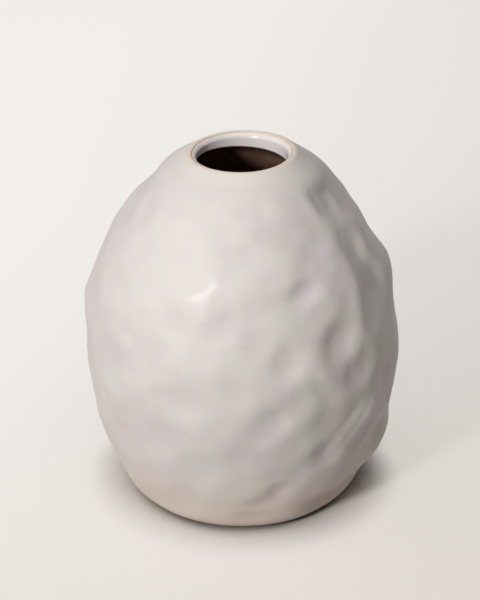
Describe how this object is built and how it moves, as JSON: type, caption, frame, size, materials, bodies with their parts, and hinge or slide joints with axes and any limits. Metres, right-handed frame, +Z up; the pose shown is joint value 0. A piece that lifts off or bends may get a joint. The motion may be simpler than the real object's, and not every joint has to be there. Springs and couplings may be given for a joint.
{
  "type": "bud vase",
  "caption": "Hand-formed egg-shaped bud vase with a finger-pressed satin glazed body and a small round mouth.",
  "frame": {"origin": "centre of the flat underside that the vase stands on", "axes": "+Z up through the middle of the mouth, -Y towards the front, +X to the right as seen from the front"},
  "size_m": [0.1505, 0.1496, 0.1728],
  "materials": {
    "clay": "bare fired stoneware, matt",
    "outer_glaze": "satin pale lilac-grey",
    "neck_glaze": "glossy pale lilac-grey",
    "liner_glaze": "glossy dark umber brown"
  },
  "bodies": {
    "root": {"base": "clay", "lower_wall": "clay", "upper_wall": "clay", "neck_collar": "clay", "base_coil": "clay", "belly_coil": "clay", "outer_glaze": "outer_glaze", "neck_glaze": "neck_glaze", "liner_glaze": "liner_glaze"}
  },
  "joints": []
}
